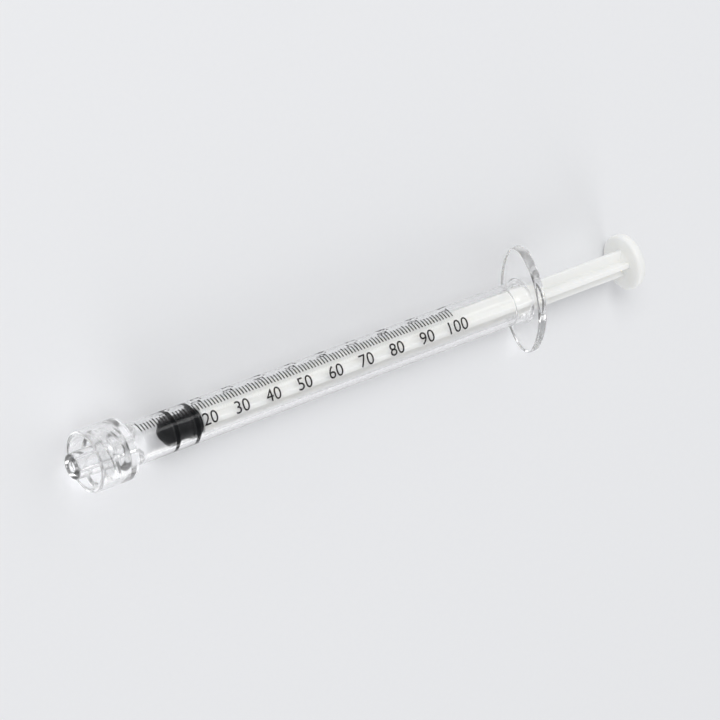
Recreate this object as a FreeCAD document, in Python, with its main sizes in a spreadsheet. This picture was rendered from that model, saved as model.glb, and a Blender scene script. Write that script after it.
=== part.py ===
import FreeCAD, Part
import math
import os
import Sketcher

# A 1 mL luer lock syringe lying along X, its tip towards -X and its wings level.
# Three pieces: the clear barrel with its luer cone, lock collar and finger flange, the rubber piston,
# and the cruciform plunger rod. Stations run along the syringe, from the end of the luer tip.

doc = FreeCAD.newDocument("luer_lock_syringe")

# Driving dimensions, in mm
SIZES = {
    # Male luer cone
    "tip_diameter": 3.97,
    "tip_taper": 0.06,
    "tip_length": 7.6,
    "tip_chamfer": 0.15,
    "lumen_diameter": 1.6,
    # Lock collar around the cone
    "tip_reach": 2.2,
    "collar_diameter": 9.4,
    "collar_wall": 0.7,
    "collar_web": 1.1,
    "collar_edge_radius": 0.3,
    "collar_chamfer": 0.25,
    # Two-start lock thread inside the collar
    "thread_starts": 2,
    "thread_lead": 5.0,
    "thread_turns": 0.65,
    "thread_entry": 0.9,
    "thread_height": 0.5,
    "thread_crest_width": 0.3,
    "thread_root_width": 1.0,
    # Graduated tube: 57 mm of this bore hold 1 mL
    "bore": 4.73,
    "tube_wall": 0.8,
    "end_wall": 2.25,
    "scale_length": 57.0,
    "mouth_margin": 15.8,
    "mouth_chamfer": 0.25,
    "ridge_inset": 3.5,
    "ridge_width": 1.0,
    "ridge_height": 0.15,
    # Finger flange at the mouth
    "flange_span": 17.0,
    "flange_width": 9.4,
    "flange_tip_width": 5.0,
    "flange_thickness": 1.6,
    "flange_edge_radius": 0.35,
    "flange_root_chamfer": 0.4,
    # Rubber piston
    "seal_clearance": 0.03,
    "seal_width": 1.2,
    "seal_pitch": 3.7,
    "seal_chamfer": 0.25,
    "waist_diameter": 3.9,
    "nose_clearance": 0.15,
    "nose_length": 1.2,
    "nose_diameter": 1.6,
    "nose_radius": 0.5,
    "tail_length": 0.6,
    # Snap joint between the piston and the rod
    "snap_clearance": 0.05,
    "snap_play": 0.1,
    "lip_length": 1.3,
    "neck_diameter": 1.9,
    "head_diameter": 2.8,
    "head_length": 2.2,
    "head_cone_length": 1.2,
    "head_tip_diameter": 1.0,
    # Plunger rod
    "shaft_clearance": 0.3,
    "front_disc_thickness": 1.0,
    "rib_rim_width": 0.75,
    "rib_root_width": 1.15,
    "rib_root_radius": 0.25,
    "thumb_standoff": 13.3,
    "thumb_diameter": 8.8,
    "thumb_thickness": 1.5,
    "thumb_edge_radius": 0.5,
    "thumb_boss_diameter": 3.4,
    "thumb_boss_length": 0.9,
    "dish_rim_width": 1.3,
    "dish_depth": 0.35,
    # How far the plunger is drawn back from empty
    "drawn": 5.1,
}

dims = doc.addObject("Spreadsheet::Sheet", "dims")
for row, (alias, size) in enumerate(SIZES.items(), 1):
    dims.set(f"A{row}", alias)
    dims.set(f"B{row}", str(size))
    dims.setAlias(f"B{row}", alias)

# Stations and mating sizes, worked out from the driving dimensions
DERIVED = {
    "cone_base_diameter": "dims.tip_diameter + dims.tip_taper * dims.tip_length",
    "thread_diameter": "dims.collar_diameter - 2 * dims.collar_wall",
    "thread_middle": "dims.tip_reach + dims.thread_entry + dims.thread_root_width / 2",
    "collar_rear": "dims.tip_length + dims.collar_web",
    "bore_floor": "dims.tip_length + dims.end_wall",
    "zero_mark": "bore_floor + dims.nose_clearance + dims.nose_length",
    "barrel_diameter": "dims.bore + 2 * dims.tube_wall",
    "mouth": "zero_mark + dims.scale_length + dims.mouth_margin",
    "ridge_rear": "mouth - dims.ridge_inset",
    "ridge_front": "ridge_rear - dims.ridge_width",
    "flange_front": "mouth - dims.flange_thickness",
    "flange_hole": "dims.bore + 1.5 * dims.tube_wall",
    "wing_reach": "(dims.flange_span - dims.flange_tip_width) / 2",
    "wing_step": "(dims.flange_width - dims.flange_tip_width) / 2",
    "flange_side_drop": "(wing_reach * wing_reach - wing_step * wing_step) / (2 * wing_step)",
    "flange_side_radius": "dims.flange_width / 2 + flange_side_drop",
    "seal_diameter": "dims.bore - 2 * dims.seal_clearance",
    "front_seal_rear": "dims.nose_length + dims.seal_width",
    "rear_seal_front": "dims.nose_length + dims.seal_pitch",
    "rear_seal_rear": "rear_seal_front + dims.seal_width",
    "piston_length": "rear_seal_rear + dims.tail_length",
    "neck_bore": "dims.neck_diameter + 2 * dims.snap_clearance",
    "cavity_diameter": "dims.head_diameter + 2 * dims.snap_clearance",
    "cavity_tip_diameter": "dims.head_tip_diameter + 2 * dims.snap_clearance",
    "cavity_rear": "piston_length - dims.lip_length",
    "head_seat": "cavity_rear - dims.snap_play - dims.head_length",
    "cavity_front": "head_seat - dims.snap_play",
    "piston_station": "zero_mark + dims.drawn - dims.nose_length",
    "rod_station": "piston_station + head_seat",
    "shaft_diameter": "dims.bore - 2 * dims.shaft_clearance",
    "disc_front": "dims.head_length + dims.lip_length + 2 * dims.snap_play",
    "disc_rear": "disc_front + dims.front_disc_thickness",
    "thumb_front": "mouth + dims.thumb_standoff + dims.drawn - rod_station",
    "thumb_rear": "thumb_front + dims.thumb_thickness",
    "boss_front": "thumb_front - dims.thumb_boss_length",
    "dish_floor": "thumb_rear - dims.dish_depth",
    "dish_diameter": "dims.thumb_diameter - 2 * dims.dish_rim_width",
    "overall_length": "rod_station + thumb_rear",
    "tip_x": "-overall_length / 2",
    "axis_height": "max(dims.collar_diameter; dims.flange_width; dims.thumb_diameter) / 2",
}

fits = doc.addObject("Spreadsheet::Sheet", "fits")
for row, (alias, formula) in enumerate(DERIVED.items(), 1):
    fits.set(f"A{row}", alias)
    fits.set(f"B{row}", f"={formula}")
    fits.setAlias(f"B{row}", alias)
doc.recompute()

# Two places nearer than this are the same place
SAME = 0.001


def value(text):
    """The number that an expression on the two sheets gives now."""
    return float(dims.evalExpression(text))


def new_body(name, station):
    """A body on the syringe's axis, with its origin at a station."""
    body = doc.addObject("PartDesign::Body", name)
    body.Label = name
    body.setExpression("Placement.Base.x", f"fits.tip_x + {station}")
    body.setExpression("Placement.Base.z", "fits.axis_height")
    return body


def origin_item(body, role):
    """The plane or axis of the body's origin that has this role."""
    return next(item for item in body.Origin.OriginFeatures if item.Role == role)


def new_sketch(body, name, role, station="0"):
    """An empty sketch on an origin plane, or parallel to it at a station."""
    sketch = body.newObject("Sketcher::SketchObject", name)
    sketch.AttachmentSupport = [(origin_item(body, role), "")]
    sketch.MapMode = "FlatFace"
    sketch.setExpression("AttachmentOffset.Base.z", station)
    return sketch


def hold_point(sketch, geometry, point, across, up):
    """Ties one point of a sketch to a pair of expressions, measured from the sketch's origin."""
    for kind, axis, text in (("DistanceX", -2, across), ("DistanceY", -1, up)):
        distance = value(text)
        if distance > 0:
            held = sketch.addConstraint(Sketcher.Constraint(kind, -1, 1, geometry, point, distance))
            sketch.setExpression(f"Constraints[{held}]", text)
        elif distance < 0:
            held = sketch.addConstraint(Sketcher.Constraint(kind, geometry, point, -1, 1, -distance))
            sketch.setExpression(f"Constraints[{held}]", f"-({text})")
        else:
            sketch.addConstraint(Sketcher.Constraint("PointOnObject", geometry, point, axis))


def hold_radius(sketch, curve, text):
    """Ties the radius of an arc or a circle to an expression."""
    held = sketch.addConstraint(Sketcher.Constraint("Radius", curve, value(text)))
    sketch.setExpression(f"Constraints[{held}]", text)


def outline(sketch, corners):
    """Draws a closed outline of straight edges, each corner tied to its pair of expressions."""
    places = [FreeCAD.Vector(value(across), value(up), 0) for across, up in corners]
    for start, end in zip(places, places[1:] + places[:1]):
        sketch.addGeometry(Part.LineSegment(start, end), False)
    for edge, (across, up) in enumerate(corners):
        before = (edge - 1) % len(corners)
        sketch.addConstraint(Sketcher.Constraint("Coincident", before, 2, edge, 1))
        hold_point(sketch, edge, 1, across, up)


def revolve(body, name, corners):
    """Turns a half section, given as (station, radius) corners, about the syringe's axis."""
    sketch = new_sketch(body, f"{name}_section", "XY_Plane")
    outline(sketch, corners)
    turned = body.newObject("PartDesign::Revolution", name)
    turned.Profile = sketch
    turned.ReferenceAxis = (sketch, ["H_Axis"])
    turned.Angle = 360
    doc.recompute()


def repeat_about_axis(body, name, feature, count):
    """Repeats a feature evenly about the syringe's axis."""
    pattern = body.newObject("PartDesign::PolarPattern", name)
    pattern.Originals = [feature]
    pattern.Axis = (origin_item(body, "X_Axis"), [""])
    pattern.Angle = 360
    pattern.setExpression("Occurrences", count)
    body.Tip = pattern
    doc.recompute()


def rims(body, *places):
    """Names of the body's circular edges about the axis at these (station, radius) places."""
    wanted = [(value(station), value(radius)) for station, radius in places]
    names = []
    for number, edge in enumerate(body.Tip.Shape.Edges, 1):
        circle = edge.Curve
        if not isinstance(circle, Part.Circle) or math.hypot(circle.Center.y, circle.Center.z) > SAME:
            continue
        if any(math.hypot(circle.Center.x - x, circle.Radius - r) < SAME for x, r in wanted):
            names.append(f"Edge{number}")
    return names


def flange_edges(body):
    """Names of the edges around the outline of the flange's two faces."""
    tube = value("fits.barrel_diameter / 2") + SAME
    names = []
    for number, edge in enumerate(body.Tip.Shape.Edges, 1):
        middle = edge.valueAt((edge.FirstParameter + edge.LastParameter) / 2)
        for face in (value("fits.flange_front"), value("fits.mouth")):
            flat = abs(edge.BoundBox.XMin - face) < SAME and abs(edge.BoundBox.XMax - face) < SAME
            if flat and math.hypot(middle.y, middle.z) > tube:
                names.append(f"Edge{number}")
    return names


def rib_root_edges(body):
    """Names of the long edges where neighbouring ribs of the rod meet."""
    shaft = value("fits.thumb_front - fits.disc_rear")
    names = []
    for number, edge in enumerate(body.Tip.Shape.Edges, 1):
        middle = edge.valueAt((edge.FirstParameter + edge.LastParameter) / 2)
        if abs(edge.Length - shaft) < SAME and math.hypot(middle.y, middle.z) < value("dims.rib_root_width"):
            names.append(f"Edge{number}")
    return names


def fillet(body, name, radius, edges):
    """Rounds the named edges of the body."""
    base = body.Tip
    rounded = body.newObject("PartDesign::Fillet", name)
    rounded.Base = (base, edges)
    rounded.setExpression("Radius", radius)
    doc.recompute()


def chamfer(body, name, size, edges):
    """Bevels the named edges of the body."""
    base = body.Tip
    bevelled = body.newObject("PartDesign::Chamfer", name)
    bevelled.Base = (base, edges)
    bevelled.setExpression("Size", size)
    doc.recompute()


def make_tube(barrel):
    """The cone, the collar, the tube and the bore with its retaining ridge, turned as one section."""
    lumen = "dims.lumen_diameter / 2"
    thread = "fits.thread_diameter / 2"
    collar = "dims.collar_diameter / 2"
    tube = "fits.barrel_diameter / 2"
    bore = "dims.bore / 2"
    ridge = "dims.bore / 2 - dims.ridge_height"
    revolve(barrel, "tube", [
        ("0", lumen),
        ("0", "dims.tip_diameter / 2"),
        ("dims.tip_length", "fits.cone_base_diameter / 2"),
        ("dims.tip_length", thread),
        ("dims.tip_reach", thread),
        ("dims.tip_reach", collar),
        ("fits.collar_rear", collar),
        ("fits.collar_rear", tube),
        ("fits.mouth", tube),
        ("fits.mouth", "dims.bore / 2 + dims.mouth_chamfer"),
        ("fits.mouth - 2 * dims.mouth_chamfer", bore),
        ("fits.ridge_rear", bore),
        ("fits.ridge_rear - dims.ridge_width / 3", ridge),
        ("fits.ridge_front + dims.ridge_width / 3", ridge),
        ("fits.ridge_front", bore),
        ("fits.zero_mark - dims.nose_clearance", bore),
        ("fits.bore_floor", lumen),
    ])
    chamfer(barrel, "tip_edge", "dims.tip_chamfer", rims(barrel, ("0", "dims.tip_diameter / 2")))
    chamfer(barrel, "collar_edges", "dims.collar_chamfer",
            rims(barrel, ("dims.tip_reach", thread), ("fits.collar_rear", collar), ("fits.collar_rear", tube)))
    fillet(barrel, "collar_rim", "dims.collar_edge_radius", rims(barrel, ("dims.tip_reach", collar)))


def make_flange(barrel):
    """The finger flange around the mouth: an oval of four arcs, with a wing on each side. Its top and
    bottom are so nearly flat that the syringe lies still on them."""
    wing = value("dims.flange_tip_width / 2")
    side = value("fits.flange_side_radius")
    reach = value("fits.wing_reach")
    drop = value("fits.flange_side_drop")
    meet = math.atan2(drop, reach)
    half_turn = math.pi
    sketch = new_sketch(barrel, "flange_outline", "YZ_Plane", "fits.flange_front")

    def circle(across, up, radius):
        return Part.Circle(FreeCAD.Vector(across, up, 0), FreeCAD.Vector(0, 0, 1), radius)

    # The four arcs, each of which runs tangent into the next
    for arc in (
        Part.ArcOfCircle(circle(reach, 0, wing), -meet, meet),
        Part.ArcOfCircle(circle(0, -drop, side), meet, half_turn - meet),
        Part.ArcOfCircle(circle(-reach, 0, wing), half_turn - meet, half_turn + meet),
        Part.ArcOfCircle(circle(0, drop, side), half_turn + meet, 2 * half_turn - meet),
    ):
        sketch.addGeometry(arc, False)
    right, top, left, bottom = range(4)
    for start, end in ((right, top), (top, left), (left, bottom), (bottom, right)):
        sketch.addConstraint(Sketcher.Constraint("Tangent", start, 2, end, 1))
    hole = sketch.addGeometry(circle(0, 0, value("fits.flange_hole / 2")), False)
    sketch.addConstraint(Sketcher.Constraint("Coincident", hole, 3, -1, 1))
    sketch.addConstraint(Sketcher.Constraint("Symmetric", right, 3, left, 3, -1, 1))
    sketch.addConstraint(Sketcher.Constraint("Equal", right, left))
    sketch.addConstraint(Sketcher.Constraint("Equal", top, bottom))
    hold_point(sketch, right, 3, "fits.wing_reach", "0")
    hold_radius(sketch, right, "dims.flange_tip_width / 2")
    hold_radius(sketch, top, "fits.flange_side_radius")
    hold_radius(sketch, hole, "fits.flange_hole / 2")

    plate = barrel.newObject("PartDesign::Pad", "flange")
    plate.Profile = sketch
    plate.setExpression("Length", "dims.flange_thickness")
    doc.recompute()
    fillet(barrel, "flange_outer_edges", "dims.flange_edge_radius", flange_edges(barrel))
    chamfer(barrel, "flange_root", "dims.flange_root_chamfer",
            rims(barrel, ("fits.flange_front", "fits.barrel_diameter / 2")))


def make_thread(barrel):
    """The lock thread: right-hand ridges that stand inward from the collar's wall, one for each start."""
    sunk = "fits.thread_diameter / 2 + dims.collar_wall / 4"
    wall = "fits.thread_diameter / 2"
    crest = "fits.thread_diameter / 2 - dims.thread_height"
    sketch = new_sketch(barrel, "thread_section", "XY_Plane")
    outline(sketch, [
        ("fits.thread_middle - dims.thread_root_width / 2", sunk),
        ("fits.thread_middle - dims.thread_root_width / 2", wall),
        ("fits.thread_middle - dims.thread_crest_width / 2", crest),
        ("fits.thread_middle + dims.thread_crest_width / 2", crest),
        ("fits.thread_middle + dims.thread_root_width / 2", wall),
        ("fits.thread_middle + dims.thread_root_width / 2", sunk),
    ])
    ridge = barrel.newObject("PartDesign::AdditiveHelix", "thread_ridge")
    ridge.Profile = sketch
    ridge.ReferenceAxis = (sketch, ["H_Axis"])
    ridge.Mode = "pitch-turns-angle"
    ridge.setExpression("Pitch", "dims.thread_lead")
    ridge.setExpression("Turns", "dims.thread_turns")
    doc.recompute()
    repeat_about_axis(barrel, "lock_thread", ridge, "dims.thread_starts")


def make_barrel():
    """The clear barrel, moulded in one with its cone, collar, thread and flange."""
    barrel = new_body("barrel", "0")
    make_tube(barrel)
    make_flange(barrel)
    make_thread(barrel)
    return barrel


def make_piston():
    """The rubber piston: a blunt cone, two sealing ribs and a cavity for the rod's head."""
    piston = new_body("piston", "fits.piston_station")
    seal = "fits.seal_diameter / 2"
    waist = "dims.waist_diameter / 2"
    neck = "fits.neck_bore / 2"
    cavity = "fits.cavity_diameter / 2"
    revolve(piston, "rubber", [
        ("0", "0"),
        ("0", "dims.nose_diameter / 2"),
        ("dims.nose_length", waist),
        ("dims.nose_length", seal),
        ("fits.front_seal_rear", seal),
        ("fits.front_seal_rear", waist),
        ("fits.rear_seal_front", waist),
        ("fits.rear_seal_front", seal),
        ("fits.rear_seal_rear", seal),
        ("fits.rear_seal_rear", waist),
        ("fits.piston_length", waist),
        ("fits.piston_length", neck),
        ("fits.cavity_rear", neck),
        ("fits.cavity_rear", cavity),
        ("fits.cavity_front + dims.head_cone_length", cavity),
        ("fits.cavity_front", "fits.cavity_tip_diameter / 2"),
        ("fits.cavity_front", "0"),
    ])
    chamfer(piston, "seal_edges", "dims.seal_chamfer",
            rims(piston, ("dims.nose_length", seal), ("fits.front_seal_rear", seal),
                 ("fits.rear_seal_front", seal), ("fits.rear_seal_rear", seal)))
    fillet(piston, "nose_edge", "dims.nose_radius", rims(piston, ("0", "dims.nose_diameter / 2")))
    return piston


def make_head(rod):
    """The snap head, its neck and the disc that pushes the piston."""
    head = "dims.head_diameter / 2"
    neck = "dims.neck_diameter / 2"
    shaft = "fits.shaft_diameter / 2"
    revolve(rod, "snap_head", [
        ("0", "0"),
        ("0", "dims.head_tip_diameter / 2"),
        ("dims.head_cone_length", head),
        ("dims.head_length", head),
        ("dims.head_length", neck),
        ("fits.disc_front", neck),
        ("fits.disc_front", shaft),
        ("fits.disc_rear", shaft),
        ("fits.disc_rear", "0"),
    ])


def make_shaft(rod):
    """Four ribs that taper towards their rims, from the front disc to the thumb rest."""
    sketch = new_sketch(rod, "rib_section", "YZ_Plane", "fits.disc_rear")
    outline(sketch, [
        ("-dims.rib_root_width / 2", "0"),
        ("dims.rib_root_width / 2", "0"),
        ("dims.rib_rim_width / 2", "fits.shaft_diameter / 2"),
        ("-dims.rib_rim_width / 2", "fits.shaft_diameter / 2"),
    ])
    rib = rod.newObject("PartDesign::Pad", "rib")
    rib.Profile = sketch
    rib.setExpression("Length", "fits.thumb_front - fits.disc_rear")
    doc.recompute()
    repeat_about_axis(rod, "ribs", rib, "4")
    fillet(rod, "rib_roots", "dims.rib_root_radius", rib_root_edges(rod))


def make_thumb_rest(rod):
    """The round thumb rest: a dished disc on a short cone that runs out of the ribs."""
    thumb = "dims.thumb_diameter / 2"
    revolve(rod, "thumb_rest", [
        ("fits.boss_front", "0"),
        ("fits.boss_front", "dims.rib_root_width / 2"),
        ("fits.thumb_front", "dims.thumb_boss_diameter / 2"),
        ("fits.thumb_front", thumb),
        ("fits.thumb_rear", thumb),
        ("fits.thumb_rear", "fits.dish_diameter / 2"),
        ("fits.dish_floor", "fits.dish_diameter / 2 - dims.dish_depth"),
        ("fits.dish_floor", "0"),
    ])
    fillet(rod, "thumb_edges", "dims.thumb_edge_radius",
           rims(rod, ("fits.thumb_front", thumb), ("fits.thumb_rear", thumb)))


def make_rod():
    """The plunger rod, moulded in one from its snap head to its thumb rest."""
    rod = new_body("plunger_rod", "fits.rod_station")
    make_head(rod)
    make_shaft(rod)
    make_thumb_rest(rod)
    return rod


pieces = [make_barrel(), make_piston(), make_rod()]
doc.recompute()

for item in doc.Objects:
    if "Invalid" in item.State or "Error" in item.State:
        raise RuntimeError(f"{item.Label} could not be built: {item.State}")

os.makedirs("parts", exist_ok=True)
for piece in pieces:
    if piece.Shape.isNull() or not piece.Shape.isValid():
        raise RuntimeError(f"{piece.Label} has no valid shape")
    piece.Shape.exportStep(f"parts/{piece.Label}.step")
    print(f"{piece.Label}: {piece.Shape.Volume:.2f} mm3")
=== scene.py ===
import math
from contextlib import contextmanager

import bmesh
import bpy
from mathutils import Matrix, Vector


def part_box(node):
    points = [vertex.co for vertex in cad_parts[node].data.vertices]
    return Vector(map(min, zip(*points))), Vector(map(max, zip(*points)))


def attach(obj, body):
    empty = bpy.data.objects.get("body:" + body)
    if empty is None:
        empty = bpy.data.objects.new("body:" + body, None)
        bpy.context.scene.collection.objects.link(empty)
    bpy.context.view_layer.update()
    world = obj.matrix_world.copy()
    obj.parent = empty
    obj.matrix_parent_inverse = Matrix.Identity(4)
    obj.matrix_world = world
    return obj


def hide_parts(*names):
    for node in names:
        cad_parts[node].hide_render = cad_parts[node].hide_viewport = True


# A 1 mL luer lock syringe in a plain pale studio. It lies along X with its tip towards -X and its wings
# level. Lengths are in metres, and stations run along the syringe from the end of the luer tip.

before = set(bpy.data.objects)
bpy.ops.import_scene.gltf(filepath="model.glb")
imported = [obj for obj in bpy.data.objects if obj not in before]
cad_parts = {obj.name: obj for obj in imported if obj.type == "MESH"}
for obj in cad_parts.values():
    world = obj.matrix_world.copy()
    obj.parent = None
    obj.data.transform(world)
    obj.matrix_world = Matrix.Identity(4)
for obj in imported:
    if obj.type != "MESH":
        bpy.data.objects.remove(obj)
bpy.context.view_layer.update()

MM = 0.001
WHOLE_TURN = 2 * math.pi
HALF_TURN = math.pi
QUARTER_TURN = math.pi / 2

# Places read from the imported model
barrel_low, barrel_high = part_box("barrel")
piston_low, piston_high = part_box("piston")
rod_low, rod_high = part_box("plunger_rod")
TIP_X = barrel_low.x
AXIS_HEIGHT = (barrel_low.z + barrel_high.z) / 2
MOUTH = barrel_high.x - TIP_X
FLANGE_SPAN = barrel_high.y - barrel_low.y
COLLAR_RADIUS = (barrel_high.z - barrel_low.z) / 2
PISTON_FRONT = piston_low.x - TIP_X
PISTON_REAR = piston_high.x - TIP_X
HEAD_FRONT = rod_low.x - TIP_X
THUMB_REAR = rod_high.x - TIP_X
THUMB_RADIUS = (rod_high.z - rod_low.z) / 2

# Barrel
TIP_RADIUS = 1.985 * MM
CONE_LENGTH = 7.6 * MM
CONE_TAPER = 0.06
LUMEN_RADIUS = 0.8 * MM
COLLAR_FRONT = 2.2 * MM
COLLAR_REAR = 8.7 * MM
COLLAR_WALL = 0.7 * MM
BORE_FLOOR = 9.85 * MM
ZERO_MARK = 11.2 * MM
BORE_START = 11.05 * MM
BORE_RADIUS = 2.365 * MM
TUBE_RADIUS = 3.165 * MM
RIDGE_FRONT = MOUTH - 4.5 * MM
RIDGE_WIDTH = 1.0 * MM
RIDGE_HEIGHT = 0.15 * MM
MOUTH_BEVEL = 0.25 * MM
FLANGE_THICKNESS = 1.6 * MM
FLANGE_FRONT = MOUTH - FLANGE_THICKNESS
FLANGE_HALF_WIDTH = 4.7 * MM
WING_TIP_RADIUS = 2.5 * MM
FLANGE_ROOT = 0.4 * MM
FLANGE_EDGE = 0.35 * MM

# How far each rounding of the barrel reaches
LUMEN_EDGE = 0.1 * MM
TIP_EDGE = 0.25 * MM
COLLAR_FLOOR_ROUND = 0.2 * MM
COLLAR_LIP = 0.25 * MM
COLLAR_ROUND = 0.3 * MM
FLANGE_FOOT = 0.2 * MM
MOUTH_EDGE = 0.08 * MM
MOUTH_RUN_IN = 0.15 * MM
RIDGE_ROUND = 0.12 * MM
BORE_ROUND = 0.3 * MM
LUMEN_MOUTH = 0.2 * MM

# Lock thread
THREAD_LEAD = 5.0 * MM
THREAD_TURNS = 0.65
THREAD_START = 3.6 * MM
THREAD_CREST_RADIUS = 3.5 * MM
THREAD_SUNK_RADIUS = 4.175 * MM
THREAD_CREST_HALF = 0.15 * MM
THREAD_FLANK = 0.7

# Piston
SEAL_WIDTH = 1.2 * MM
NOSE_LENGTH = 1.2 * MM
NOSE_RADIUS = 0.8 * MM
SEAL_PITCH = 3.7 * MM
WAIST_RADIUS = 1.95 * MM
SEAL_SQUEEZE = 0.006 * MM
TAIL_LIP = 1.3 * MM
NECK_HOLE_RADIUS = 1.0 * MM
CAVITY_RADIUS = 1.45 * MM
CAVITY_TIP_RADIUS = 0.55 * MM
CAVITY_CONE = 1.2 * MM
CAVITY_PLAY = 0.1 * MM
NOSE_ROUND = 0.5 * MM
RIB_FOOT = 0.15 * MM
RIB_EDGE = 0.3 * MM
WAIST_ROUND = 0.25 * MM
TAIL_FOOT = 0.2 * MM
TAIL_EDGE = 0.15 * MM

# Plunger rod
HEAD_TIP_RADIUS = 0.5 * MM
HEAD_RADIUS = 1.4 * MM
HEAD_CONE = 1.2 * MM
HEAD_LENGTH = 2.2 * MM
HEAD_ROUND = 0.15 * MM
HEAD_EDGE = 0.1 * MM
NECK_RADIUS = 0.95 * MM
NECK_FOOT = 0.1 * MM
DISC_FRONT = 3.7 * MM
DISC_THICKNESS = 1.0 * MM
DISC_EDGE = 0.15 * MM
SHAFT_RADIUS = 2.065 * MM
RIB_ROOT_HALF = 0.524 * MM
RIB_RIM_HALF = 0.375 * MM
RIB_ROOT_ROUND = 0.25 * MM
RIB_RIM_ROUND = 0.12 * MM
THUMB_THICKNESS = 1.5 * MM
THUMB_EDGE = 0.5 * MM
BOSS_LENGTH = 0.9 * MM
BOSS_RADIUS = 1.7 * MM
BOSS_FOOT = 0.3 * MM
DISH_RIM = 1.3 * MM
DISH_DEPTH = 0.35 * MM
DISH_ROUND = 0.2 * MM

# Printed graduation: ten groups of ten marks, 57 mm for 1 mL
SCALE_LENGTH = 57.0 * MM
GROUPS = 10
MARKS_IN_GROUP = 10
INK_THICKNESS = 0.02 * MM
MARK_WIDTH = 0.19 * MM

# How finely the round forms are divided
AROUND = 96
ROUND_STEPS = 4
DIGIT_STEPS = 4

# Points nearer than this are one, and edges that turn more than this stay sharp
SAME = 0.001 * MM
SHARP_ANGLE = math.radians(35)

# The line of sight: how far the camera stands forward of square-on, how far it goes round the syringe's
# axis from straight above towards +Y, how steeply the syringe rises in the picture, how far away the
# camera is, and how wide the picture is at the syringe
SIGHT_FORWARD = math.radians(32)
SIGHT_ROUND = math.radians(25)
PICTURE_SLOPE = math.radians(20.4)
SIGHT_DISTANCE = 0.77
PICTURE_WIDTH = 0.107


def place(station, across=0.0, up=0.0):
    """The point at a station, off the syringe's axis by across (Y) and up (Z)."""
    return Vector((TIP_X + station, across, AXIS_HEIGHT + up))


# Modelling tools

def select_only(piece):
    bpy.ops.object.select_all(action="DESELECT")
    bpy.context.view_layer.objects.active = piece
    piece.select_set(True)


@contextmanager
def editing(piece):
    """Edit mode on one piece alone."""
    select_only(piece)
    bpy.ops.object.mode_set(mode="EDIT")
    bpy.ops.mesh.select_mode(type="VERT")
    yield
    bpy.ops.object.mode_set(mode="OBJECT")


def pick(piece, kind, wanted):
    """In edit mode, selects only the VERT, EDGE or FACE items that pass the test."""
    bpy.ops.mesh.select_mode(type=kind)
    bpy.ops.mesh.select_all(action="DESELECT")
    mesh = bmesh.from_edit_mesh(piece.data)
    for item in {"VERT": mesh.verts, "EDGE": mesh.edges, "FACE": mesh.faces}[kind]:
        item.select_set(bool(wanted(item)))
    mesh.select_flush_mode()
    bmesh.update_edit_mesh(piece.data)


def near(vertex, point):
    return (vertex.co - point).length < SAME


def settle(piece):
    """Merges doubled vertices and turns all faces outwards."""
    with editing(piece):
        bpy.ops.mesh.select_all(action="SELECT")
        bpy.ops.mesh.remove_doubles(threshold=SAME)
        bpy.ops.mesh.normals_make_consistent(inside=False)


def apply_place(piece):
    """Puts a piece's place into its mesh."""
    select_only(piece)
    bpy.ops.object.transform_apply(location=True, rotation=True, scale=True)


def modify(piece, kind, **settings):
    """Adds a modifier and applies it."""
    select_only(piece)
    bpy.ops.object.modifier_add(type=kind)
    modifier = piece.modifiers[-1]
    for name, setting in settings.items():
        setattr(modifier, name, setting)
    bpy.ops.object.modifier_apply(modifier=modifier.name)


def combine(piece, other, operation):
    """Adds another solid to a piece, or cuts it away, and deletes the other."""
    modify(piece, "BOOLEAN", operation=operation, solver="EXACT", object=other)
    bpy.data.objects.remove(other)


def turned(name, corners):
    """A solid turned about the syringe's axis from its half section.

    A corner is a station and a radius, and may have a third number: how far its rounding reaches. A
    section whose ends are off the axis is closed.
    """
    points = [place(corner[0], corner[1]) for corner in corners]
    bpy.ops.object.select_all(action="DESELECT")
    bpy.ops.mesh.primitive_plane_add(size=MM)
    piece = bpy.context.object
    piece.name = name
    with editing(piece):
        bpy.ops.mesh.select_all(action="SELECT")
        bpy.ops.mesh.merge(type="CENTER")
        bpy.ops.transform.translate(value=points[0])
        for start, end in zip(points, points[1:]):
            bpy.ops.mesh.extrude_vertices_move(TRANSFORM_OT_translate={"value": end - start})
        if corners[0][1] > 0:
            pick(piece, "VERT", lambda vertex: near(vertex, points[0]) or near(vertex, points[-1]))
            bpy.ops.mesh.edge_face_add()
        for corner, point in zip(corners, points):
            if len(corner) > 2:
                pick(piece, "VERT", lambda vertex: near(vertex, point))
                bpy.ops.mesh.bevel(offset=corner[2], segments=ROUND_STEPS, affect="VERTICES")
        bpy.ops.mesh.select_all(action="SELECT")
        bpy.ops.mesh.spin(steps=AROUND, angle=WHOLE_TURN, center=place(0), axis=(1, 0, 0))
    settle(piece)
    return piece


def finish_piece(piece, body, node, material):
    """Smooths a finished piece, gives it its material and says what it stands for."""
    select_only(piece)
    bpy.ops.object.shade_smooth_by_angle(angle=SHARP_ANGLE)
    modify(piece, "WEIGHTED_NORMAL", keep_sharp=True)
    piece.data.name = piece.name
    piece.data.materials.clear()
    piece.data.materials.append(material)
    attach(piece, body)
    if node:
        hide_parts(node)


# Barrel

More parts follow.
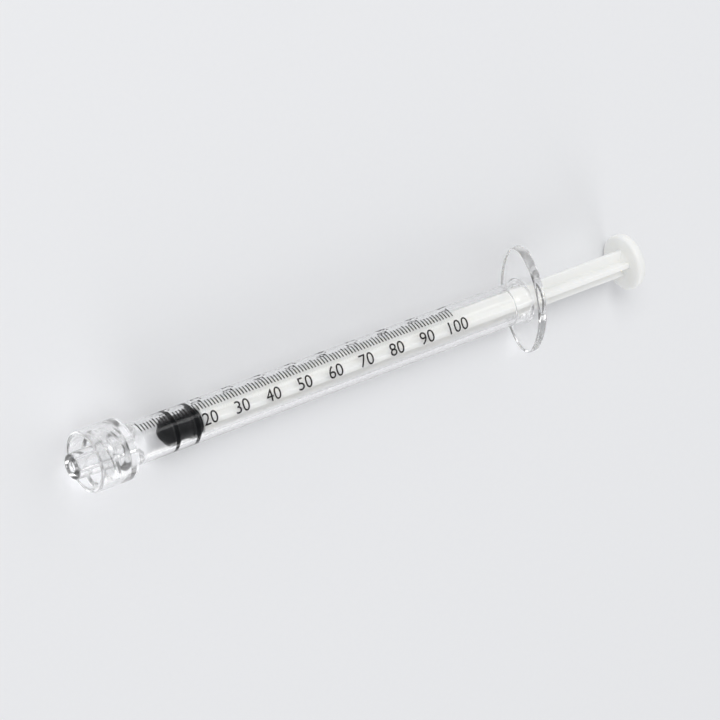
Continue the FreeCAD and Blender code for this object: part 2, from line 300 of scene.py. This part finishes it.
def make_tube():
    """The luer cone, the collar and the tube with its bore, turned as one section."""
    cone_base = TIP_RADIUS + CONE_LENGTH * CONE_TAPER / 2
    thread_wall = COLLAR_RADIUS - COLLAR_WALL
    ridge_radius = BORE_RADIUS - RIDGE_HEIGHT
    return turned("barrel_shell", [
        (0, LUMEN_RADIUS, LUMEN_EDGE),
        (0, TIP_RADIUS, TIP_EDGE),
        (CONE_LENGTH, cone_base, COLLAR_FLOOR_ROUND),
        (CONE_LENGTH, thread_wall, COLLAR_FLOOR_ROUND),
        (COLLAR_FRONT, thread_wall, COLLAR_LIP),
        (COLLAR_FRONT, COLLAR_RADIUS, COLLAR_ROUND),
        (COLLAR_REAR, COLLAR_RADIUS, COLLAR_ROUND),
        (COLLAR_REAR, TUBE_RADIUS, COLLAR_ROUND),
        (FLANGE_FRONT - FLANGE_ROOT, TUBE_RADIUS, FLANGE_FOOT),
        (FLANGE_FRONT + FLANGE_ROOT, TUBE_RADIUS + 2 * FLANGE_ROOT),
        (MOUTH - FLANGE_ROOT, TUBE_RADIUS + 2 * FLANGE_ROOT),
        (MOUTH - FLANGE_ROOT, TUBE_RADIUS),
        (MOUTH, TUBE_RADIUS),
        (MOUTH, BORE_RADIUS + MOUTH_BEVEL, MOUTH_EDGE),
        (MOUTH - 2 * MOUTH_BEVEL, BORE_RADIUS, MOUTH_RUN_IN),
        (RIDGE_FRONT + RIDGE_WIDTH, BORE_RADIUS),
        (RIDGE_FRONT + RIDGE_WIDTH * 2 / 3, ridge_radius, RIDGE_ROUND),
        (RIDGE_FRONT + RIDGE_WIDTH / 3, ridge_radius, RIDGE_ROUND),
        (RIDGE_FRONT, BORE_RADIUS),
        (BORE_START, BORE_RADIUS, BORE_ROUND),
        (BORE_FLOOR, LUMEN_RADIUS, LUMEN_MOUTH),
    ])


def make_flange():
    """The finger flange: an oval of four arcs with a wing on each side, and a hole for the tube's wall."""
    reach = FLANGE_SPAN / 2 - WING_TIP_RADIUS
    step = FLANGE_HALF_WIDTH - WING_TIP_RADIUS
    drop = (reach ** 2 - step ** 2) / (2 * step)
    meet = math.atan2(drop, reach)
    steps = AROUND // 4
    corners = []
    for across, up, radius, start, end in (
            (reach, 0, WING_TIP_RADIUS, -meet, meet),
            (0, -drop, FLANGE_HALF_WIDTH + drop, meet, HALF_TURN - meet),
            (-reach, 0, WING_TIP_RADIUS, HALF_TURN - meet, HALF_TURN + meet),
            (0, drop, FLANGE_HALF_WIDTH + drop, HALF_TURN + meet, WHOLE_TURN - meet)):
        for number in range(steps):
            angle = start + (end - start) * number / steps
            corners.append(place(FLANGE_FRONT, across + radius * math.cos(angle),
                                 up + radius * math.sin(angle)))
    bpy.ops.object.select_all(action="DESELECT")
    bpy.ops.mesh.primitive_plane_add(size=MM)
    flange = bpy.context.object
    with editing(flange):
        bpy.ops.mesh.select_all(action="SELECT")
        bpy.ops.mesh.merge(type="CENTER")
        bpy.ops.transform.translate(value=corners[0])
        for start, end in zip(corners, corners[1:]):
            bpy.ops.mesh.extrude_vertices_move(TRANSFORM_OT_translate={"value": end - start})
        bpy.ops.mesh.select_all(action="SELECT")
        bpy.ops.mesh.edge_face_add()
        bpy.ops.mesh.extrude_region_move(TRANSFORM_OT_translate={"value": (FLANGE_THICKNESS, 0, 0)})
        pick(flange, "EDGE", lambda edge: abs(edge.verts[0].co.x - edge.verts[1].co.x) < SAME)
        bpy.ops.mesh.bevel(offset=FLANGE_EDGE, segments=ROUND_STEPS, affect="EDGES")
    settle(flange)
    bpy.ops.mesh.primitive_cylinder_add(
        vertices=AROUND, radius=(BORE_RADIUS + TUBE_RADIUS) / 2, depth=2 * FLANGE_THICKNESS,
        location=place(FLANGE_FRONT + FLANGE_THICKNESS / 2), rotation=(0, QUARTER_TURN, 0))
    hole = bpy.context.object
    apply_place(hole)
    combine(flange, hole, "DIFFERENCE")
    return flange


def make_thread_ridge(turn):
    """One right-hand ridge of the lock thread, with its foot sunk in the collar's wall.

    Its section starts as a plane with corners at 1 and -1, of which two become the crest and two the foot.
    """
    foot_half = THREAD_CREST_HALF + (THREAD_SUNK_RADIUS - THREAD_CREST_RADIUS) * THREAD_FLANK
    middle = TIP_X + THREAD_START
    bpy.ops.object.select_all(action="DESELECT")
    bpy.ops.mesh.primitive_plane_add(size=2)
    ridge = bpy.context.object
    with editing(ridge):
        for side, radius, half in ((-1, THREAD_CREST_RADIUS, THREAD_CREST_HALF),
                                   (1, THREAD_SUNK_RADIUS, foot_half)):
            pick(ridge, "VERT", lambda vertex: vertex.co.y * side > 0.5)
            bpy.ops.transform.translate(value=(0, radius - side, 0))
            bpy.ops.transform.resize(value=(half, 1, 1), center_override=(0, radius, 0))
        bpy.ops.mesh.select_all(action="SELECT")
        bpy.ops.transform.translate(value=(middle, 0, 0))
        bpy.ops.mesh.delete(type="ONLY_FACE")
    modify(ridge, "SCREW", axis="X", angle=THREAD_TURNS * WHOLE_TURN, steps=AROUND, render_steps=AROUND,
           screw_offset=THREAD_LEAD * THREAD_TURNS)
    with editing(ridge):
        bpy.ops.mesh.select_all(action="SELECT")
        bpy.ops.mesh.fill_holes(sides=4)
    ridge.rotation_euler.x = turn
    ridge.location.z = AXIS_HEIGHT
    apply_place(ridge)
    settle(ridge)
    return ridge


def make_barrel(material):
    barrel = make_tube()
    combine(barrel, make_flange(), "UNION")
    for turn in (0, HALF_TURN):
        combine(barrel, make_thread_ridge(turn), "UNION")
    settle(barrel)
    finish_piece(barrel, "barrel", "barrel", material)


# Piston

def make_piston(material):
    """The rubber piston, its ribs squeezed against the bore."""
    seal = BORE_RADIUS + SEAL_SQUEEZE
    front_rib = PISTON_FRONT + NOSE_LENGTH
    rear_rib = front_rib + SEAL_PITCH
    lip = PISTON_REAR - TAIL_LIP
    cavity_front = HEAD_FRONT - CAVITY_PLAY
    piston = turned("rubber_piston", [
        (PISTON_FRONT, 0),
        (PISTON_FRONT, NOSE_RADIUS, NOSE_ROUND),
        (front_rib, WAIST_RADIUS, RIB_FOOT),
        (front_rib, seal, RIB_EDGE),
        (front_rib + SEAL_WIDTH, seal, RIB_EDGE),
        (front_rib + SEAL_WIDTH, WAIST_RADIUS, WAIST_ROUND),
        (rear_rib, WAIST_RADIUS, WAIST_ROUND),
        (rear_rib, seal, RIB_EDGE),
        (rear_rib + SEAL_WIDTH, seal, RIB_EDGE),
        (rear_rib + SEAL_WIDTH, WAIST_RADIUS, TAIL_FOOT),
        (PISTON_REAR, WAIST_RADIUS, TAIL_EDGE),
        (PISTON_REAR, NECK_HOLE_RADIUS, TAIL_EDGE),
        (lip, NECK_HOLE_RADIUS),
        (lip, CAVITY_RADIUS),
        (cavity_front + CAVITY_CONE, CAVITY_RADIUS),
        (cavity_front, CAVITY_TIP_RADIUS),
        (cavity_front, 0),
    ])
    finish_piece(piston, "piston", "piston", material)


# Plunger rod

def make_head():
    """The snap head, its neck and the disc behind the piston."""
    disc = HEAD_FRONT + DISC_FRONT
    return turned("plunger", [
        (HEAD_FRONT, 0),
        (HEAD_FRONT, HEAD_TIP_RADIUS, HEAD_ROUND),
        (HEAD_FRONT + HEAD_CONE, HEAD_RADIUS, HEAD_ROUND),
        (HEAD_FRONT + HEAD_LENGTH, HEAD_RADIUS, HEAD_EDGE),
        (HEAD_FRONT + HEAD_LENGTH, NECK_RADIUS),
        (disc, NECK_RADIUS, NECK_FOOT),
        (disc, SHAFT_RADIUS, DISC_EDGE),
        (disc + DISC_THICKNESS, SHAFT_RADIUS, DISC_EDGE),
        (disc + DISC_THICKNESS, 0),
    ])


def make_shaft():
    """The cruciform shaft: a square core with a tapered rib drawn out of each side."""
    front = HEAD_FRONT + DISC_FRONT + DISC_THICKNESS / 2
    rear = THUMB_REAR - THUMB_THICKNESS / 2
    bpy.ops.object.select_all(action="DESELECT")
    bpy.ops.mesh.primitive_cube_add(size=2, location=place((front + rear) / 2),
                                    scale=((rear - front) / 2, RIB_ROOT_HALF, RIB_ROOT_HALF))
    shaft = bpy.context.object
    apply_place(shaft)
    axis = place(0)
    with editing(shaft):
        for outward in (Vector((0, 1, 0)), Vector((0, 0, 1)), Vector((0, -1, 0)), Vector((0, 0, -1))):
            pick(shaft, "FACE", lambda face: face.normal.dot(outward) > 0.9
                 and abs((face.calc_center_median() - axis).dot(outward) - RIB_ROOT_HALF) < SAME)
            bpy.ops.mesh.extrude_region_move(
                TRANSFORM_OT_translate={"value": outward * (SHAFT_RADIUS - RIB_ROOT_HALF)})
            narrower = RIB_RIM_HALF / RIB_ROOT_HALF
            scale = (1, 1, narrower) if outward.y else (1, narrower, 1)
            bpy.ops.transform.resize(value=scale, center_override=axis + outward * SHAFT_RADIUS)

        def lies_along(edge, far):
            first, second = (vertex.co - axis for vertex in edge.verts)
            reach = max(abs(first.y), abs(first.z))
            return abs(first.x - second.x) > MM and (reach > RIB_ROOT_HALF + MM / 2) == far

        for far, size in ((False, RIB_ROOT_ROUND), (True, RIB_RIM_ROUND)):
            pick(shaft, "EDGE", lambda edge: lies_along(edge, far))
            bpy.ops.mesh.bevel(offset=size, segments=ROUND_STEPS, affect="EDGES")
    settle(shaft)
    return shaft


def make_thumb_rest():
    """The round thumb rest, dished behind, on a short cone that runs out of the ribs."""
    thumb_front = THUMB_REAR - THUMB_THICKNESS
    dish = THUMB_RADIUS - DISH_RIM
    return turned("thumb_rest", [
        (thumb_front - BOSS_LENGTH, 0),
        (thumb_front - BOSS_LENGTH, RIB_ROOT_HALF),
        (thumb_front, BOSS_RADIUS, BOSS_FOOT),
        (thumb_front, THUMB_RADIUS, THUMB_EDGE),
        (THUMB_REAR, THUMB_RADIUS, THUMB_EDGE),
        (THUMB_REAR, dish, DISH_ROUND),
        (THUMB_REAR - DISH_DEPTH, dish - DISH_DEPTH, DISH_ROUND),
        (THUMB_REAR - DISH_DEPTH, 0),
    ])


def make_rod(material):
    rod = make_head()
    combine(rod, make_shaft(), "UNION")
    combine(rod, make_thumb_rest(), "UNION")
    settle(rod)
    finish_piece(rod, "plunger", "plunger_rod", material)


# Printed graduation, laid out flat and then bent round the tube

MARKS_FROM = math.radians(25)
MARK_LENGTHS = {"short": 1.35 * MM, "middle": 1.6 * MM, "long": 1.9 * MM}
NUMBERS_FROM = math.radians(61)
NUMBER_HEIGHT = 1.6 * MM
NUMBER_WIDTH = 1.5 * MM
ROW_MIDDLE = math.radians(-7)
ROW_HEIGHT = 2.0 * MM
DIGIT_HEIGHT = 0.73
BEND_STEP = 0.2 * MM


def arc(angle):
    """How far round the tube an angle reaches, from the line that faces the camera."""
    return TUBE_RADIUS * angle


def ink_bar(station, low, length):
    """In edit mode, adds one mark across the flat print."""
    bpy.ops.mesh.primitive_cube_add(size=1, location=(TIP_X + station, 0, low + length / 2),
                                    scale=(MARK_WIDTH, INK_THICKNESS, length))


def make_marks():
    """The marks of the scale: one group of ten, repeated, and the mark at zero."""
    spacing = SCALE_LENGTH / GROUPS / MARKS_IN_GROUP
    bpy.ops.object.select_all(action="DESELECT")
    bpy.ops.mesh.primitive_plane_add(size=MM)
    marks = bpy.context.object
    with editing(marks):
        bpy.ops.mesh.select_all(action="SELECT")
        bpy.ops.mesh.delete(type="VERT")
        for number in range(1, MARKS_IN_GROUP + 1):
            kind = {MARKS_IN_GROUP: "long", MARKS_IN_GROUP // 2: "middle"}.get(number, "short")
            ink_bar(ZERO_MARK + number * spacing, arc(MARKS_FROM), MARK_LENGTHS[kind])
    modify(marks, "ARRAY", count=GROUPS, use_relative_offset=False, use_constant_offset=True,
           constant_offset_displace=(SCALE_LENGTH / GROUPS, 0, 0))
    with editing(marks):
        ink_bar(ZERO_MARK, arc(MARKS_FROM), MARK_LENGTHS["long"])
    return marks


def make_number(text, station, around, height, turn):
    """A number on the flat print, its middle at a station and a distance round the tube."""
    bpy.ops.object.select_all(action="DESELECT")
    bpy.ops.object.text_add(rotation=(QUARTER_TURN, 0, 0))
    number = bpy.context.object
    number.data.body = text
    number.data.size = height / DIGIT_HEIGHT
    number.data.extrude = INK_THICKNESS / 2
    number.data.resolution_u = DIGIT_STEPS
    number.data.align_x = "CENTER"
    number.data.align_y = "CENTER"
    bpy.ops.object.convert(target="MESH")
    number = bpy.context.object
    apply_place(number)
    number.rotation_euler.y = turn
    number.location = (TIP_X + station, 0, around)
    apply_place(number)
    return number


def make_print(material):
    """All the ink on the barrel: the marks, their numbers and a row of plain numbers beside them."""
    pieces = [make_marks()]
    for group in range(1, GROUPS + 1):
        station = ZERO_MARK + group * SCALE_LENGTH / GROUPS
        tenths = f".{group}" if group < GROUPS else "1"
        pieces.append(make_number(tenths, station, arc(NUMBERS_FROM) + NUMBER_WIDTH / 2, NUMBER_HEIGHT,
                                  -QUARTER_TURN))
        if group > 1:
            pieces.append(make_number(str(group * MARKS_IN_GROUP), station, arc(ROW_MIDDLE), ROW_HEIGHT, 0))
    bpy.ops.object.select_all(action="DESELECT")
    for piece in pieces:
        piece.select_set(True)
    ink = pieces[0]
    ink.name = "printed_scale"
    bpy.context.view_layer.objects.active = ink
    bpy.ops.object.join()
    heights = [vertex.co.z for vertex in ink.data.vertices]
    low, high = min(heights), max(heights)
    with editing(ink):
        bpy.ops.mesh.select_all(action="SELECT")
        bpy.ops.mesh.remove_doubles(threshold=SAME)
        for step in range(1, int((high - low) / BEND_STEP)):
            bpy.ops.mesh.select_all(action="SELECT")
            bpy.ops.mesh.bisect(plane_co=(0, 0, low + step * BEND_STEP), plane_no=(0, 0, 1))
    modify(ink, "SIMPLE_DEFORM", deform_method="BEND", deform_axis="X", angle=(high - low) / TUBE_RADIUS)
    with editing(ink):
        bpy.ops.mesh.select_all(action="SELECT")
        bpy.ops.transform.translate(value=(0, -TUBE_RADIUS, 0))
    ink.rotation_euler.x = -QUARTER_TURN - SIGHT_ROUND
    ink.location.z = AXIS_HEIGHT
    apply_place(ink)
    settle(ink)
    finish_piece(ink, "barrel", None, material)


# Materials

POLYPROPYLENE_IOR = 1.49


class Signal:
    """A value that runs through a material's nodes. Sums written on it add Math nodes."""

    def __init__(self, finish, socket):
        self.finish = finish
        self.socket = socket

    def sum(self, operation, *values):
        return self.finish.node("ShaderNodeMath", {"operation": operation}, dict(enumerate(values)))

    def __add__(self, other):
        return self.sum("ADD", self, other)

    def __radd__(self, other):
        return self.sum("ADD", other, self)

    def __sub__(self, other):
        return self.sum("SUBTRACT", self, other)

    def __rsub__(self, other):
        return self.sum("SUBTRACT", other, self)

    def __mul__(self, other):
        return self.sum("MULTIPLY", self, other)

    def __rmul__(self, other):
        return self.sum("MULTIPLY", other, self)


class Finish:
    """The nodes of a material or of the world, and the one way to add to them."""

    def __init__(self, owner):
        owner.use_nodes = True
        self.owner = owner
        self.tree = owner.node_tree
        self.tree.nodes.clear()

    def node(self, kind, settings=None, inputs=None, output=0):
        """Adds a node, sets it up, fills or links its sockets, and gives one of its outputs."""
        added = self.tree.nodes.new(kind)
        for name, setting in (settings or {}).items():
            setattr(added, name, setting)
        for name, value in (inputs or {}).items():
            if isinstance(value, Signal):
                self.tree.links.new(value.socket, added.inputs[name])
            else:
                added.inputs[name].default_value = value
        return Signal(self, added.outputs[output])

    def spots(self, stretch, scale, detail=2.0, rough=0.5):
        """Soft noise from 0 to 1 in the piece's own space, stretched along X."""
        where = self.node("ShaderNodeTexCoord", output="Object")
        where = self.node("ShaderNodeMapping", inputs={"Vector": where, "Scale": (1 / stretch, 1, 1)})
        return self.node("ShaderNodeTexNoise", inputs={
            "Vector": where, "Scale": scale, "Detail": detail, "Roughness": rough})

    def blend(self, share, first, second):
        """A colour between two others."""
        return self.node("ShaderNodeMix", {"data_type": "RGBA"}, {0: share, 6: first, 7: second}, output=2)

    def bump(self, height, distance):
        return self.node("ShaderNodeBump", inputs={"Height": height, "Distance": distance, "Strength": 1.0})

    def plastic(self, inputs):
        return self.node("ShaderNodeBsdfPrincipled", inputs=inputs)

    def show(self, shader, output="ShaderNodeOutputMaterial"):
        self.tree.links.new(shader.socket, self.tree.nodes.new(output).inputs["Surface"])
        return self.owner


def clear_plastic():
    """Clear polypropylene: faintly milky, with flow lines along the tube and fine scuffs."""
    finish = Finish(bpy.data.materials.new("clear_polypropylene"))
    flow = finish.spots(stretch=12, scale=900)
    scuffs = finish.spots(stretch=3, scale=5200, detail=4)
    colour = finish.blend(flow, (0.986, 0.988, 0.99, 1), (0.998, 0.997, 0.994, 1))
    surface = finish.plastic({
        "Base Color": colour, "Roughness": 0.05 + flow * 0.06 + scuffs * 0.05, "IOR": POLYPROPYLENE_IOR,
        "Transmission Weight": 1.0, "Normal": finish.bump(flow + scuffs * 0.3, distance=0.004 * MM)})
    shadow = finish.node("ShaderNodeLightPath", output="Is Shadow Ray")
    passing = finish.node("ShaderNodeBsdfTransparent", inputs={"Color": (0.955, 0.955, 0.96, 1)})
    return finish.show(finish.node("ShaderNodeMixShader", inputs={0: shadow, 1: surface, 2: passing}))


def white_plastic():
    """Milky polypropylene: light passes well into it, with faint clouds from moulding."""
    finish = Finish(bpy.data.materials.new("milky_polypropylene"))
    clouds = finish.spots(stretch=6, scale=420, detail=3)
    grain = finish.spots(stretch=1, scale=6500, detail=3)
    colour = finish.blend(clouds, (0.84, 0.845, 0.83, 1), (0.89, 0.89, 0.87, 1))
    surface = finish.plastic({
        "Base Color": colour, "Roughness": 0.26 + clouds * 0.1 + grain * 0.08, "IOR": POLYPROPYLENE_IOR,
        "Subsurface Weight": 0.9, "Subsurface Radius": (1.0, 0.97, 0.92), "Subsurface Scale": 1.2 * MM,
        "Normal": finish.bump(clouds * 0.6 + grain * 0.4, distance=0.006 * MM)})
    return finish.show(surface)


def black_rubber():
    """Black rubber, a little grey where its skin is dry and glossier where it's oiled."""
    finish = Finish(bpy.data.materials.new("black_rubber"))
    skin = finish.spots(stretch=1, scale=1500, detail=5, rough=0.6)
    grain = finish.spots(stretch=1, scale=9000, detail=3)
    colour = finish.blend(skin, (0.003, 0.003, 0.004, 1), (0.014, 0.015, 0.017, 1))
    surface = finish.plastic({
        "Base Color": colour, "Roughness": 0.4 + skin * 0.2, "Specular IOR Level": 0.1,
        "Normal": finish.bump(skin * 0.5 + grain * 0.5, distance=0.012 * MM)})
    return finish.show(surface)


def print_ink():
    """Black screen ink, slightly uneven, with a dull gloss."""
    finish = Finish(bpy.data.materials.new("black_ink"))
    cover = finish.spots(stretch=1, scale=7000, detail=4, rough=0.7)
    colour = finish.blend(cover, (0.008, 0.007, 0.008, 1), (0.036, 0.03, 0.03, 1))
    surface = finish.plastic({
        "Base Color": colour, "Roughness": 0.5 + cover * 0.2, "Specular IOR Level": 0.2,
        "Normal": finish.bump(cover, distance=0.004 * MM)})
    return finish.show(surface)


def studio_paper():
    """The studio's pale floor."""
    finish = Finish(bpy.data.materials.new("studio_paper"))
    tooth = finish.spots(stretch=1, scale=1200, detail=3)
    colour = finish.blend(tooth, (0.815, 0.82, 0.835, 1), (0.83, 0.835, 0.848, 1))
    return finish.show(finish.plastic({"Base Color": colour, "Roughness": 0.9, "Specular IOR Level": 0.1}))


# Studio

# How often light may turn inside the clear plastic before it is lost
CLEAR_BOUNCES = 48

FLOOR_SIZE = 4.0
FLOOR_DROP = 0.02 * MM
BACKDROP_COLOUR = (0.8, 0.805, 0.815, 1)
ROOM_LIGHT = 0.76
ROOM_GLEAM = 0.05


def make_floor():
    """The floor, a hair below the syringe so that the two don't share a surface."""
    bpy.ops.object.select_all(action="DESELECT")
    bpy.ops.mesh.primitive_plane_add(size=FLOOR_SIZE, location=(0, 0, -FLOOR_DROP))
    floor = bpy.context.object
    floor.name = "floor"
    apply_place(floor)
    floor.data.materials.append(studio_paper())


def make_world():
    """A pale backdrop all round. The camera and the clear plastic see it in full, it lights the syringe a
    little less, and gleams on it less still, so that black shows black through the tube."""
    finish = Finish(bpy.data.worlds.new("studio"))

    def ray(kind):
        return finish.node("ShaderNodeLightPath", output=kind)

    seen = ray("Is Camera Ray") + ray("Is Transmission Ray")
    strength = ROOM_LIGHT + seen * (1 - ROOM_LIGHT) - ray("Is Glossy Ray") * (ROOM_LIGHT - ROOM_GLEAM)
    backdrop = finish.node("ShaderNodeBackground", inputs={"Color": BACKDROP_COLOUR, "Strength": strength})
    bpy.context.scene.world = finish.show(backdrop, "ShaderNodeOutputWorld")


def make_lamp(name, place_at, size, power):
    """A soft square lamp that faces the syringe."""
    bpy.ops.object.light_add(type="AREA", location=place_at)
    lamp = bpy.context.object
    lamp.name = name
    lamp.data.shape = "SQUARE"
    lamp.data.size = size
    lamp.data.energy = power
    lamp.rotation_mode = "QUATERNION"
    lamp.rotation_quaternion = (Vector(place_at) - place(MOUTH / 2)).to_track_quat("Z", "Y")


def make_camera():
    """The camera, so placed that the syringe rises to the right with its tip nearest."""
    aim = place(THUMB_REAR / 2)
    back = Vector((-math.sin(SIGHT_FORWARD), math.cos(SIGHT_FORWARD) * math.sin(SIGHT_ROUND),
                   math.cos(SIGHT_FORWARD) * math.cos(SIGHT_ROUND)))
    along = (Vector((1, 0, 0)) - back * back.x).normalized()
    over = back.cross(along)
    right = along * math.cos(PICTURE_SLOPE) - over * math.sin(PICTURE_SLOPE)
    up = along * math.sin(PICTURE_SLOPE) + over * math.cos(PICTURE_SLOPE)
    turn = Matrix((right, up, back)).transposed().to_4x4()
    bpy.ops.object.camera_add()
    camera = bpy.context.object
    camera.matrix_world = Matrix.Translation(aim + back * SIGHT_DISTANCE) @ turn
    camera.data.lens = camera.data.sensor_width * SIGHT_DISTANCE / PICTURE_WIDTH
    camera.data.clip_start = 0.01
    camera.data.clip_end = 100
    bpy.context.scene.camera = camera


make_camera()
make_barrel(clear_plastic())
make_piston(black_rubber())
make_rod(white_plastic())
make_print(print_ink())
make_floor()
make_world()
make_lamp("key", place_at=(-0.3, 0.75, 0.95), size=0.6, power=6.4)
make_lamp("fill", place_at=(0.3, -1.1, 0.4), size=0.6, power=3.2)
make_lamp("streak", place_at=(0.6, 0.85, 0.72), size=0.3, power=0.3)
bpy.context.scene.view_settings.view_transform = "Standard"
bpy.context.scene.cycles.max_bounces = CLEAR_BOUNCES
bpy.context.scene.cycles.transmission_bounces = CLEAR_BOUNCES
bpy.context.scene.cycles.glossy_bounces = CLEAR_BOUNCES
